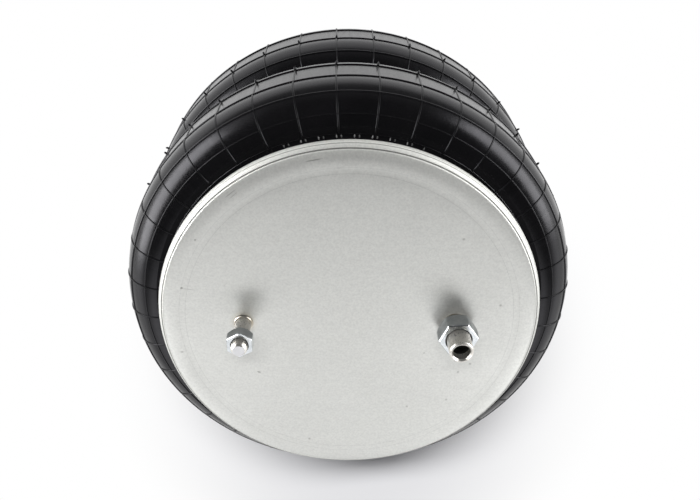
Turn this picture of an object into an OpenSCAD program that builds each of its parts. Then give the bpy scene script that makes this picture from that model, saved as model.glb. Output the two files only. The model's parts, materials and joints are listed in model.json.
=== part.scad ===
// Double convolution air bellows actuator, standing on its lower bead plate.
// Millimetres. The stroke is along +Z and the origin is the centre of the lower mounting face.
// The rubber wall is one set of tangent arcs, and every layer is that same path at another depth.

/* [Overall] */
// Height between the two mounting faces at rest
rest_h = 233.3; // [210:0.1:260]
// Outside diameter of the convolutions
belly_d = 348.4; // [330:0.1:370]
// Outside diameter of the rolled bead plates
plate_d = 287; // [275:0.5:300]
// Distance between the two fastening points of each plate
stud_spacing = 158.8; // [120:0.1:180]

/* [Bead plates] */
// Thickness of the pressed steel sheet
sheet_t = 2.5; // [2:0.1:3.5]
// Outside radius of the bend where the face turns into the rim
rim_bend = 6; // [5:0.1:8]
// Outside radius of the curl that is rolled under the bead
curl_r = 5.5; // [5:0.1:6.5]
// Diameter of the shallow coined circle on the face
coin_d = 249.5; // [220:0.5:255]
// Width of the coined circle
coin_w = 4.5; // [3:0.1:6]
// Depth of the coined circle
coin_depth = 0.3; // [0.1:0.05:0.6]
// Gap between a rolled lip and the rubber neck
lip_gap = 0.4; // [0.3:0.05:1]

/* [Bellows wall] */
// Thickness of the outer rubber cover
cover_t = 2.6; // [2:0.1:3.5]
// Thickness of one fabric ply
ply_t = 0.8; // [0.5:0.1:1.2]
// Thickness of the airtight inner liner
liner_t = 2.8; // [2:0.1:3.5]
// Outside radius of the shoulders in section
shoulder_r = 28.5; // [24:0.1:32]
// Radius of the hollow between neck and shoulder
neck_fillet = 5; // [3:0.1:8]
// Straight neck that shows below each rolled lip
neck_len = 2.5; // [1:0.1:6]
// Outside diameter of the rubber at the bottom of the waist
waist_d = 272; // [256:0.5:288]

/* [Beads] */
// Radius of the wound steel wire in each bead
wire_r = 2.1; // [1.5:0.1:3]
// Rubber between the wrapped plies and the flat sides of the bead
bead_skin = 0.5; // [0.4:0.1:1.5]
// Rubber between the wrapped plies and the outside of the bead
bead_heel = 1.5; // [0.8:0.1:2.5]
// Gap between a bead and the plate that is rolled round it
bead_gap = 0.3; // [0.25:0.05:0.6]
// Play of the bead wire in its wrapping
wire_play = 0.05; // [0.03:0.01:0.15]

/* [Girdle hoop] */
// Thickness of the round steel rod of the hoop
hoop_d = 12; // [9:0.1:14]
// How much wider the rubber groove is than the hoop, in radius
groove_play = 1.5; // [0.6:0.1:3]
// Gap between the hoop and the bottom of the groove
hoop_gap = 0.3; // [0.25:0.05:0.6]

/* [Studs] */
// Thread diameter of the blind stud
blind_d = 12; // [10:0.5:16]
// Thread diameter of the air stud
air_d = 18; // [16:0.5:22]
// Length of both studs above the upper face
stud_h = 35; // [28:0.5:45]
// Thickness of the stud heads inside the bellows
head_t = 3; // [2:0.1:5]
// How far a stud head reaches past its shank
head_rim = 5; // [3:0.1:8]
// Chamfer of the blind stud's tip
blind_chamfer = 1.85; // [1:0.05:2.5]
// Chamfer of the air stud's tip
air_chamfer = 1; // [0.6:0.05:1.5]
// Bore of the air port's thread
port_d = 13; // [11.4:0.1:13.4]
// Depth of the air port's thread
port_depth = 14; // [10:0.5:18]
// Chamfer of the air port's mouth
port_chamfer = 0.8; // [0.4:0.05:1.2]
// Air passage below the port
passage_d = 8; // [5:0.5:10]
// Play between a shank and its hole in the plate
hole_play = 0.05; // [0.03:0.01:0.2]
// Height of the weld rings round the studs
weld_h = 1.6; // [1:0.1:2.5]
// How far a weld ring reaches past its stud
weld_w = 1.2; // [0.8:0.1:2]

/* [Stud nuts] */
// Width across flats of the blind stud's nut
blind_nut_af = 19; // [17:1:24]
// Height of the blind stud's nut
blind_nut_h = 10; // [8:0.5:13]
// Height of the blind stud's nut above the upper face
blind_nut_z = 18.5; // [4:0.5:22]
// Width across flats of the air stud's nut
air_nut_af = 27; // [27:1:32]
// Height of the air stud's nut
air_nut_h = 15; // [9:0.5:17]
// Height of the air stud's nut above the upper face
air_nut_z = 4.5; // [3:0.5:14]
// Running play of a nut on its stud, in radius
nut_play = 0.1; // [0.05:0.01:0.3]

/* [Lower blind nuts] */
// Core diameter of the tapped holes in the lower face
tap_d = 10.2; // [8.5:0.1:10.2]
// Depth of the tapped holes
tap_depth = 18; // [12:0.5:22]
// Outside diameter of the barrel
barrel_d = 18; // [16:0.5:22]
// Steel that closes the barrel's inner end
barrel_end = 6; // [5:0.5:9]
// Diameter of the pilot that fills the hole in the plate
pilot_d = 15; // [13:0.5:15.5]
// Diameter of the flange against the inside of the plate
flange_d = 26; // [23:0.5:32]
// Thickness of that flange
flange_t = 2.5; // [1.5:0.1:4]
// Leg of the weld fillet round the flange
fillet_leg = 2; // [1:0.1:2.5]

/* [Hidden] */
$fn = 96;

// Largest turn of one straight piece of an arc, in the wall and round the bead wire
wall_step = 7.5;
bead_step = 15;
// Overshoot of a cutting tool past the face that it cuts
cut = 1;

// Depths of the boundaries between the layers, from the outside of the wall
ply_depth = cover_t;
mid_depth = ply_depth + ply_t;
liner_depth = mid_depth + ply_t;
wall_t = liner_depth + liner_t;

// The bead: the plies wrap the wire, and the rim is rolled to the depth that takes them
plate_r = plate_d / 2;
wrap_r = wire_r + 2 * ply_t;
bead_low = sheet_t + bead_gap;
wire_z = bead_low + bead_skin + wrap_r;
bead_high = wire_z + wrap_r + bead_skin;
rim_depth = bead_high + bead_gap + sheet_t;
bead_outer = plate_r - sheet_t - bead_gap;
wire_ring = bead_outer - bead_heel - wrap_r;
neck_r = wire_ring - wire_r + cover_t;
lip_r = neck_r + lip_gap;

// Centres of the tangent arcs, for the lower half of the wall
mid_z = rest_h / 2;
belly_r = belly_d / 2;
waist_r = waist_d / 2;
shoulder_c = belly_r - shoulder_r;
groove_r = hoop_d / 2 + groove_play;
fillet_c = neck_r + neck_fillet;
groove_c = waist_r + groove_r;
fillet_z = rim_depth + neck_len;
fillet_rise = sqrt(pow(shoulder_r + neck_fillet, 2) - pow(shoulder_c - fillet_c, 2));
groove_rise = sqrt(pow(shoulder_r + groove_r, 2) - pow(groove_c - shoulder_c, 2));
low_shoulder_z = fillet_z + fillet_rise;
high_shoulder_z = mid_z - groove_rise;
fillet_turn = atan2(fillet_rise, shoulder_c - fillet_c);
groove_turn = atan2(groove_rise, groove_c - shoulder_c);

hoop_ring = waist_r + hoop_gap + hoop_d / 2;

// Places of the two fastening points
blind_x = stud_spacing / 2;
air_x = -stud_spacing / 2;
barrel_h = tap_depth + barrel_end;

// Points along an arc after its first one, which ends the stretch before it
function arc(c, r, a0, a1, step = wall_step) =
  let (n = ceil(abs(a1 - a0) / step))
  [for (i = [1:n]) let (a = a0 + (a1 - a0) * i / n) c + r * [cos(a), sin(a)]];

function reversed(pts) = [for (i = [len(pts) - 1:-1:0]) pts[i]];

// A lower half that ends on the waist plane, joined to its mirror image above that plane
function both_halves(pts) =
  concat(pts, [for (i = [len(pts) - 2:-1:0]) [pts[i].x, rest_h - pts[i].y]]);

// The wall at a depth below its outside, from the top of the neck to the waist plane
function half_wall(depth) = concat(
  [[neck_r - depth, fillet_z]],
  arc([fillet_c, fillet_z], neck_fillet + depth, 180, fillet_turn),
  arc([shoulder_c, low_shoulder_z], shoulder_r - depth, 180 + fillet_turn, 360),
  [[belly_r - depth, high_shoulder_z]],
  arc([shoulder_c, high_shoulder_z], shoulder_r - depth, 0, groove_turn),
  arc([groove_c, mid_z], groove_r + depth, 180 + groove_turn, 180)
);

// A point and an arc of the wrapping, as radius and angle round the bead wire
function round_wire(r, a) = [wire_ring, wire_z] + r * [cos(a), sin(a)];
function wrap(r, a0, a1) = arc([wire_ring, wire_z], r, a0, a1, bead_step);

// A ply: three quarters of a turn round the wire, then down the whole wall
function half_ply(depth) =
  let (r = wire_ring - neck_r + depth)
  concat([round_wire(r, 450)], wrap(r, 450, 180), half_wall(depth));

// The outside of the cover: the foot that fills the rolled rim, then the wall
function half_cover_outside() =
  let (heel_low = rim_bend - sheet_t - bead_gap, heel_high = curl_r - sheet_t - bead_gap)
  concat(
    [[wire_ring, bead_low], [bead_outer - heel_low, bead_low]],
    arc([bead_outer - heel_low, bead_low + heel_low], heel_low, 270, 360),
    [[bead_outer, bead_high - heel_high]],
    arc([bead_outer - heel_high, bead_high - heel_high], heel_high, 0, 90),
    [[neck_r, bead_high]],
    half_wall(0)
  );

// The inside of the cover: round the wrapping, along its cut end, and round the bare quarter of the wire
function half_cover_inside() = concat(
  [round_wire(wrap_r, 270)],
  wrap(wrap_r, 270, 450),
  [round_wire(wire_r, 90)],
  wrap(wire_r, 90, 180),
  half_wall(ply_depth)
);

// The liner: its outside follows the wrapping to the foot of the bead, and its inside is bare
function half_liner_outside() = concat(
  [[wire_ring, bead_low], round_wire(wrap_r, 270)],
  wrap(wrap_r, 270, 180),
  half_wall(liner_depth)
);
function half_liner_inside() = concat([[neck_r - wall_t, bead_low]], half_wall(wall_t));

// A ring of rubber or fabric between two half outlines
module wall_ring(outside, inside) {
  rotate_extrude()
    polygon(concat(both_halves(outside), reversed(both_halves(inside))));
}

// Puts a piece that is made for the lower face on the upper one
module on_top() {
  translate([0, 0, rest_h])
    mirror([0, 0, 1])
      children();
}

// A pressed disc with its edge turned up and rolled in over the bead, mounting face at zero
module bead_plate(hole_r_right, hole_r_left) {
  coin_r = coin_d / 2;
  bend = [plate_r - rim_bend, rim_bend];
  curl = [plate_r - curl_r, rim_depth - curl_r];
  profile = concat(
    [[0, 0], [coin_r - coin_w / 2, 0]],
    [[coin_r - coin_w / 2 + coin_depth, coin_depth], [coin_r + coin_w / 2 - coin_depth, coin_depth]],
    [[coin_r + coin_w / 2, 0], [bend.x, 0]],
    arc(bend, rim_bend, 270, 360),
    [[plate_r, curl.y]],
    arc(curl, curl_r, 0, 90),
    [[lip_r, rim_depth], [lip_r, rim_depth - sheet_t], [curl.x, rim_depth - sheet_t]],
    arc(curl, curl_r - sheet_t, 90, 0),
    [[plate_r - sheet_t, bend.y]],
    arc(bend, rim_bend - sheet_t, 360, 270),
    [[0, sheet_t]]
  );
  difference() {
    rotate_extrude()
      polygon(profile);
    for (hole = [[blind_x, hole_r_right], [air_x, hole_r_left]])
      translate([hole.x, 0, -cut])
        cylinder(r = hole.y, h = sheet_t + 2 * cut);
  }
}

// The wound steel ring that keeps a bead from pulling out of its rim
module bead_wire() {
  translate([0, 0, wire_z])
    rotate_extrude()
      translate([wire_ring, 0])
        circle(r = wire_r - wire_play);
}

// A low ring of weld metal on the upper face, round a stud
module stud_weld(d) {
  inner = d / 2 + hole_play;
  outer = d / 2 + weld_w;
  crown = (inner + outer) / 2;
  rotate_extrude()
    polygon([[inner, 0], [outer, 0], [outer, weld_h / 2], [crown, weld_h], [inner, weld_h]]);
}

// A hexagon nut with both faces chamfered, standing on zero, corners along X
module hex_nut(af, h, bore_r) {
  corner_r = af / 2 / cos(30);
  face_r = 0.95 * af / 2;
  chamfer_h = (corner_r - face_r) * tan(30);
  mouth = 0.08 * bore_r;
  intersection() {
    cylinder(r = corner_r, h = h, $fn = 6);
    rotate_extrude()
      polygon([
        [bore_r + mouth, 0], [face_r, 0], [corner_r, chamfer_h], [corner_r, h - chamfer_h], [face_r, h],
        [bore_r + mouth, h], [bore_r, h - mouth], [bore_r, mouth]
      ]);
  }
}

// A closed tapped barrel, its pilot flush with the lower mounting face
module lower_blind_nut(x) {
  cone_h = tap_d / 2 * tan(30);
  rim = 1.5;
  translate([x, 0, 0])
    rotate_extrude()
      polygon([
        [tap_d / 2, 0], [pilot_d / 2, 0], [pilot_d / 2, sheet_t], [flange_d / 2, sheet_t],
        [flange_d / 2, sheet_t + flange_t], [barrel_d / 2, sheet_t + flange_t],
        [barrel_d / 2, barrel_h - rim], [barrel_d / 2 - rim, barrel_h], [0, barrel_h],
        [0, tap_depth + cone_h], [tap_d / 2, tap_depth]
      ]);
}

// The weld fillet between a blind nut's flange and the inside of the plate
module lower_nut_weld(x) {
  inner = flange_d / 2;
  translate([x, 0, sheet_t])
    rotate_extrude()
      polygon([[inner, 0], [inner + fillet_leg, 0], [inner, fillet_leg]]);
}

module lower_bead_plate() {
  color("gainsboro")
    bead_plate(pilot_d / 2 + hole_play, pilot_d / 2 + hole_play);
}

module upper_bead_plate() {
  color("gainsboro")
    on_top()
      bead_plate(blind_d / 2 + hole_play, air_d / 2 + hole_play);
}

module lower_bead_wire() {
  color("goldenrod")
    bead_wire();
}

module upper_bead_wire() {
  color("goldenrod")
    on_top()
      bead_wire();
}

module bellows_cover() {
  color([0.09, 0.09, 0.10])
    wall_ring(half_cover_outside(), half_cover_inside());
}

module outer_fabric_ply() {
  color("tan")
    wall_ring(half_ply(ply_depth), half_ply(mid_depth));
}

module inner_fabric_ply() {
  color("burlywood")
    wall_ring(half_ply(mid_depth), half_ply(liner_depth));
}

module inner_liner() {
  color([0.20, 0.20, 0.21])
    wall_ring(half_liner_outside(), half_liner_inside());
}

// A closed ring of round rod that holds the waist in
module girdle_hoop() {
  color("dimgray")
    translate([0, 0, mid_z])
      rotate_extrude()
        translate([hoop_ring, 0])
          circle(r = hoop_d / 2);
}

// A plain fastening stud, its head against the inside of the plate
module blind_stud() {
  r = blind_d / 2;
  seat = -sheet_t;
  color("lightgray")
    translate([blind_x, 0, rest_h])
      rotate_extrude()
        polygon([
          [0, seat - head_t], [r + head_rim, seat - head_t], [r + head_rim, seat], [r, seat],
          [r, stud_h - blind_chamfer], [r - blind_chamfer, stud_h], [0, stud_h]
        ]);
}

module blind_stud_weld() {
  color("darkkhaki")
    translate([blind_x, 0, rest_h])
      stud_weld(blind_d);
}

// Corners toward the front and the back
module blind_stud_nut() {
  color("lightsteelblue")
    translate([blind_x, 0, rest_h + blind_nut_z])
      rotate([0, 0, 30])
        hex_nut(blind_nut_af, blind_nut_h, blind_d / 2 + nut_play);
}

// The hollow stud that is both a fastening and the air inlet
module air_stud() {
  r = air_d / 2;
  seat = -sheet_t;
  port_r = port_d / 2;
  passage_r = passage_d / 2;
  floor_z = stud_h - port_depth;
  color("lightgray")
    translate([air_x, 0, rest_h])
      rotate_extrude()
        polygon([
          [passage_r, seat - head_t], [r + head_rim, seat - head_t], [r + head_rim, seat], [r, seat],
          [r, stud_h - air_chamfer], [r - air_chamfer, stud_h], [port_r + port_chamfer, stud_h],
          [port_r, stud_h - port_chamfer], [port_r, floor_z], [passage_r, floor_z - (port_r - passage_r)]
        ]);
}

module air_stud_weld() {
  color("darkkhaki")
    translate([air_x, 0, rest_h])
      stud_weld(air_d);
}

// Flats toward the front and the back
module air_stud_nut() {
  color("lightsteelblue")
    translate([air_x, 0, rest_h + air_nut_z])
      hex_nut(air_nut_af, air_nut_h, air_d / 2 + nut_play);
}

module lower_blind_nut_left() {
  color("silver")
    lower_blind_nut(air_x);
}

module lower_blind_nut_right() {
  color("silver")
    lower_blind_nut(blind_x);
}

module lower_nut_weld_left() {
  color("darkkhaki")
    lower_nut_weld(air_x);
}

module lower_nut_weld_right() {
  color("darkkhaki")
    lower_nut_weld(blind_x);
}

lower_bead_plate();
upper_bead_plate();
lower_bead_wire();
upper_bead_wire();
bellows_cover();
outer_fabric_ply();
inner_fabric_ply();
inner_liner();
girdle_hoop();
blind_stud();
blind_stud_weld();
blind_stud_nut();
air_stud();
air_stud_weld();
air_stud_nut();
lower_blind_nut_left();
lower_blind_nut_right();
lower_nut_weld_left();
lower_nut_weld_right();
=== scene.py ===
import json
import math

import bmesh
import bpy
from mathutils import Matrix, Vector

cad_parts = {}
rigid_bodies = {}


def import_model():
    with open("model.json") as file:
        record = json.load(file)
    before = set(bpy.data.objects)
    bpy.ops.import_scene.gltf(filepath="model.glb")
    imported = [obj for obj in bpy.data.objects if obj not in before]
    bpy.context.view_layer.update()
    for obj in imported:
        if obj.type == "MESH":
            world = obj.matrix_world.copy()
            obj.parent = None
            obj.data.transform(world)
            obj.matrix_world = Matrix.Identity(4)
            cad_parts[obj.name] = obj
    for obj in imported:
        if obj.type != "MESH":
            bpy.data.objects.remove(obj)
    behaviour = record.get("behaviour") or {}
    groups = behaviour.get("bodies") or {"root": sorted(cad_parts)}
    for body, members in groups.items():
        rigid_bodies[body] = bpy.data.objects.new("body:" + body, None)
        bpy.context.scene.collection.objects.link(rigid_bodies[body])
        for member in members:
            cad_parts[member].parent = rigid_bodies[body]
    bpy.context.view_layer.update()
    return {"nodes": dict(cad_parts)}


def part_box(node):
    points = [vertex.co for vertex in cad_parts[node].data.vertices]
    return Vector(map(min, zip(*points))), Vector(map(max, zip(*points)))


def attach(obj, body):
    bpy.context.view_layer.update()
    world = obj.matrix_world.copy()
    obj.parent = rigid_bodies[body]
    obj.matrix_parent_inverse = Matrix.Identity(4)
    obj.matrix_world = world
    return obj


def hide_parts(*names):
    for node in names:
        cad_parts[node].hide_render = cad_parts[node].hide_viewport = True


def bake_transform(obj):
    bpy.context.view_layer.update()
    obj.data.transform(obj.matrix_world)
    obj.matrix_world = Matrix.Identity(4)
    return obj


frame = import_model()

# Lower bead plate
# A disc pressed from zinc plated steel sheet, its edge turned up and rolled in over the bead of the bellows.
# A shallow coined circle stiffens the face, and two holes take the pilots of the blind nuts.
mm = 0.001
plate_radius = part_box("lower_bead_plate")[1].x
rim_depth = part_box("lower_bead_plate")[1].z
sheet = 2.5 * mm
rim_bend = 6.0 * mm
curl_radius = 5.5 * mm
lip_radius = 136.4 * mm
coin_radius = 124.75 * mm
coin_width = 4.5 * mm
coin_depth = 0.025 * mm
bend_reach = 7.0 * mm
bend_rise = rim_depth - curl_radius - 0.1 * mm
crease_insets = (3.35 * mm, 0.8 * mm)
crease_depths = (0.25 * mm, 0.10 * mm)
crease_width = 0.32 * mm
ridge_inset = 4.4 * mm
ridge_height = 0.24 * mm
ridge_flanks = (0.45 * mm, 1.00 * mm)
lead_reach = 7.0 * mm
lead_drop = 0.32 * mm
fastening_x = 79.4 * mm
pilot_radius = 7.5 * mm
hole_play = 0.05 * mm
scuffed_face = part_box("upper_bead_plate")[1].z
# Scuffs of the upper face: x, y, length and width in millimetres, turn in degrees, darkness
scuffs = (
    (123.0, -30.2, 1.3, 1.0, 20.0, 0.70),
    (118.5, -29.3, 5.5, 0.5, 172.0, 0.30),
    (110.2, -70.2, 1.2, 1.0, 40.0, 0.50),
    (127.5, 27.5, 1.6, 0.9, 0.0, 0.40),
    (69.6, 46.1, 2.0, 1.0, 150.0, 0.50),
    (-57.6, 26.3, 1.2, 0.9, 30.0, 0.35),
    (-85.4, 44.4, 1.6, 1.2, 60.0, 0.35),
    (83.5, -106.5, 6.5, 0.45, 40.0, 0.40),
    (81.8, -105.0, 5.0, 0.40, 43.0, 0.35),
    (27.0, -131.8, 7.0, 0.5, 12.0, 0.60),
    (10.0, -126.5, 2.5, 0.4, 0.0, 0.30),
)
scuff_height = 4.0 * mm


def add_node(tree, kind, inputs=(), **settings):
    """Adds a node; an input that is given a socket is linked, any other value is set."""
    node = tree.nodes.new(kind)
    for key, value in settings.items():
        setattr(node, key, value)
    for key, value in dict(inputs).items():
        if isinstance(value, bpy.types.NodeSocket):
            tree.links.new(value, node.inputs[key])
        else:
            node.inputs[key].default_value = value
    return node


def new_tree(name, sockets):
    """A node group with a geometry in, a geometry out and the named sizes between."""
    tree = bpy.data.node_groups.new(name, "GeometryNodeTree")
    tree.interface.new_socket("Geometry", in_out="INPUT", socket_type="NodeSocketGeometry")
    for socket, kind in sockets.items():
        tree.interface.new_socket(socket, in_out="INPUT", socket_type="NodeSocket" + kind)
    tree.interface.new_socket("Geometry", in_out="OUTPUT", socket_type="NodeSocketGeometry")
    return tree, tree.nodes.new("NodeGroupInput").outputs


def grown(name, mesh, tree, sizes):
    """Runs a node group on a mesh and keeps the plain result in place of the mesh."""
    piece = bpy.data.objects.new(name, mesh)
    bpy.context.scene.collection.objects.link(piece)
    modifier = piece.modifiers.new(tree.name, "NODES")
    modifier.node_group = tree
    for item in tree.interface.items_tree:
        if item.in_out == "INPUT" and item.name in sizes:
            modifier[item.identifier] = sizes[item.name]
    evaluated = piece.evaluated_get(bpy.context.evaluated_depsgraph_get())
    result = bpy.data.meshes.new_from_object(evaluated)
    piece.modifiers.remove(modifier)
    piece.data = result
    return piece


def dressed(piece, crease=32.0, weld=2e-6):
    """Closes seams and poles, turns the faces outwards and shades all but the sharp edges smooth."""
    work = bmesh.new()
    work.from_mesh(piece.data)
    bmesh.ops.remove_doubles(work, verts=work.verts, dist=weld)
    bmesh.ops.dissolve_degenerate(work, edges=work.edges, dist=weld)
    bmesh.ops.recalc_face_normals(work, faces=work.faces)
    for face in work.faces:
        face.smooth = True
    work.to_mesh(piece.data)
    work.free()
    piece.data.set_sharp_from_angle(angle=math.radians(crease))
    return piece


def finish_off(tree, geometry, finish):
    """Ends a node group: real geometry with its finish on it."""
    real = add_node(tree, "GeometryNodeRealizeInstances", {"Geometry": geometry})
    painted = add_node(tree, "GeometryNodeSetMaterial",
                       {"Geometry": real.outputs["Geometry"], "Material": finish})
    add_node(tree, "NodeGroupOutput", {0: painted.outputs["Geometry"]})
    return tree


def lathe_tree():
    """Sweeps sections, drawn as radius and drop below zero, round an upright spindle."""
    tree, given = new_tree("turned_section", {"Spindle": "Float", "Facets": "Int", "Finish": "Material"})
    section = add_node(tree, "GeometryNodeMeshToCurve", {"Mesh": given["Geometry"]})
    ring = add_node(tree, "GeometryNodeCurvePrimitiveCircle",
                    {"Resolution": given["Facets"], "Radius": given["Spindle"]})
    swept = add_node(tree, "GeometryNodeCurveToMesh",
                     {"Curve": ring.outputs["Curve"], "Profile Curve": section.outputs["Curve"]})
    closed = add_node(tree, "GeometryNodeMergeByDistance",
                      {"Geometry": swept.outputs["Mesh"], "Distance": 1e-6})
    return finish_off(tree, closed.outputs["Geometry"], given["Finish"])


lathe = lathe_tree()


def turned(name, sections, finish, facets=288, closed=True, at=(0.0, 0.0), crease=32.0):
    """A turned piece from sections of (radius, height) points, standing at x and y."""
    spindle = 0.1
    mesh = bpy.data.meshes.new(name)
    points = []
    edges = []
    for section in sections:
        first = len(points)
        points += [(radius - spindle, -height, 0.0) for radius, height in section]
        edges += [(i, i + 1) for i in range(first, len(points) - 1)]
        if closed:
            edges.append((len(points) - 1, first))
    mesh.from_pydata(points, edges, [])
    piece = grown(name, mesh, lathe, {"Spindle": spindle, "Facets": facets, "Finish": finish})
    piece.data.transform(Matrix.Translation((at[0], at[1], 0.0)))
    return dressed(piece, crease)


def arc(centre, radius, start, end, step=4.0):
    """Points along an arc, angles in degrees, both ends included."""
    count = max(1, math.ceil(abs(end - start) / step))
    turns = [math.radians(start + (end - start) * i / count) for i in range(count + 1)]
    return [(centre[0] + radius * math.cos(a), centre[1] + radius * math.sin(a)) for a in turns]


def creased_bend():
    """The outside of the rim bend: a slight lead-in, a low ridge and the two lines that the roller leaves."""
    points = []
    lead_steps = 9
    bend_steps = 80
    lead_slope = 2 * lead_drop / lead_reach
    for step in range(lead_steps):
        along = step / lead_steps
        points.append((plate_radius - bend_reach - lead_reach * (1 - along), lead_drop * along ** 2))
    full_rise = bend_rise - lead_drop - lead_slope * bend_reach
    for step in range(bend_steps + 1):
        turn = math.radians(270.0 + 90.0 * step / bend_steps)
        radius = plate_radius - bend_reach + bend_reach * math.cos(turn)
        height = lead_drop + lead_slope * bend_reach * math.cos(turn) + full_rise * (1 + math.sin(turn))
        for inset, depth in zip(crease_insets, crease_depths):
            height += depth * math.exp(-((plate_radius - inset - radius) / crease_width) ** 2)
        inwards = plate_radius - ridge_inset - radius
        flank = ridge_flanks[1] if inwards > 0 else ridge_flanks[0]
        height -= ridge_height * math.exp(-(inwards / flank) ** 2)
        points.append((radius, height))
    return points


def plate_section():
    """Half a section of the plate, its mounting face at zero and its rim going up."""
    coin_in = coin_radius - coin_width / 2
    coin_out = coin_radius + coin_width / 2
    inner_rings = (0.0, 0.04, 0.09)
    slope = 0.9 * mm
    shoulder = 0.3 * mm
    lip_ease = 0.4 * mm
    curl = (plate_radius - curl_radius, rim_depth - curl_radius)
    inner_bend = (plate_radius - rim_bend, rim_bend)
    face = [(radius, 0.0) for radius in (*inner_rings, 0.11, coin_in - shoulder)]
    face += [(coin_in, 0.4 * coin_depth), (coin_in + slope, coin_depth)]
    face += [(coin_out - slope, coin_depth), (coin_out, 0.4 * coin_depth)]
    face += [(coin_out + shoulder, 0.0), (plate_radius - bend_reach - lead_reach - 0.5 * mm, 0.0)]
    rim = creased_bend() + arc(curl, curl_radius, 0.0, 90.0)
    lip = [(lip_radius + lip_ease, rim_depth), (lip_radius, rim_depth - lip_ease)]
    lip += [(lip_radius, rim_depth - sheet + 0.3 * mm), (lip_radius + 0.3 * mm, rim_depth - sheet)]
    back = arc(curl, curl_radius - sheet, 90.0, 0.0, 10.0)
    back += arc(inner_bend, rim_bend - sheet, 360.0, 270.0, 10.0)
    return face + rim + lip + back + [(radius, sheet) for radius in reversed(inner_rings)]


def new_finish(name):
    """A material, with its node tree, its shader and the place on the piece."""
    material = bpy.data.materials.new(name)
    material.use_nodes = True
    tree = material.node_tree
    place = add_node(tree, "ShaderNodeTexCoord").outputs["Object"]
    return material, tree, tree.nodes["Principled BSDF"], place


def figured(tree, operation, *values, clamp=False):
    """A sum on plain numbers."""
    node = add_node(tree, "ShaderNodeMath", enumerate(values), operation=operation, use_clamp=clamp)
    return node.outputs["Value"]


def on_vectors(tree, operation, inputs, result="Vector"):
    """A sum on places or colours."""
    return add_node(tree, "ShaderNodeVectorMath", inputs, operation=operation).outputs[result]


def remapped(tree, value, span, result, smooth=False):
    """Carries a value over from one span to another, and holds it at the ends."""
    node = add_node(tree, "ShaderNodeMapRange",
                    {"Value": value, "From Min": span[0], "From Max": span[1],
                     "To Min": result[0], "To Max": result[1]},
                    interpolation_type="SMOOTHSTEP" if smooth else "LINEAR")
    return node.outputs["Result"]


def tinted(tree, share, first, second):
    """A colour that goes from the first to the second as the share goes from 0 to 1."""
    return add_node(tree, "ShaderNodeMix", {0: share, 6: first, 7: second}, data_type="RGBA").outputs[2]


def cloudy(tree, place, scale, detail, roughness=0.5):
    """Soft noise over a piece."""
    node = add_node(tree, "ShaderNodeTexNoise",
                    {"Vector": place, "Scale": scale, "Detail": detail, "Roughness": roughness})
    return node.outputs["Fac"]


def coated(tree, shader, colour, roughness, height, strength, distance):
    """Links a colour, a roughness and a fine relief to a shader."""
    relief = add_node(tree, "ShaderNodeBump", {"Strength": strength, "Distance": distance, "Height": height})
    tree.links.new(colour, shader.inputs["Base Color"])
    tree.links.new(roughness, shader.inputs["Roughness"])
    tree.links.new(relief.outputs["Normal"], shader.inputs["Normal"])


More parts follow.
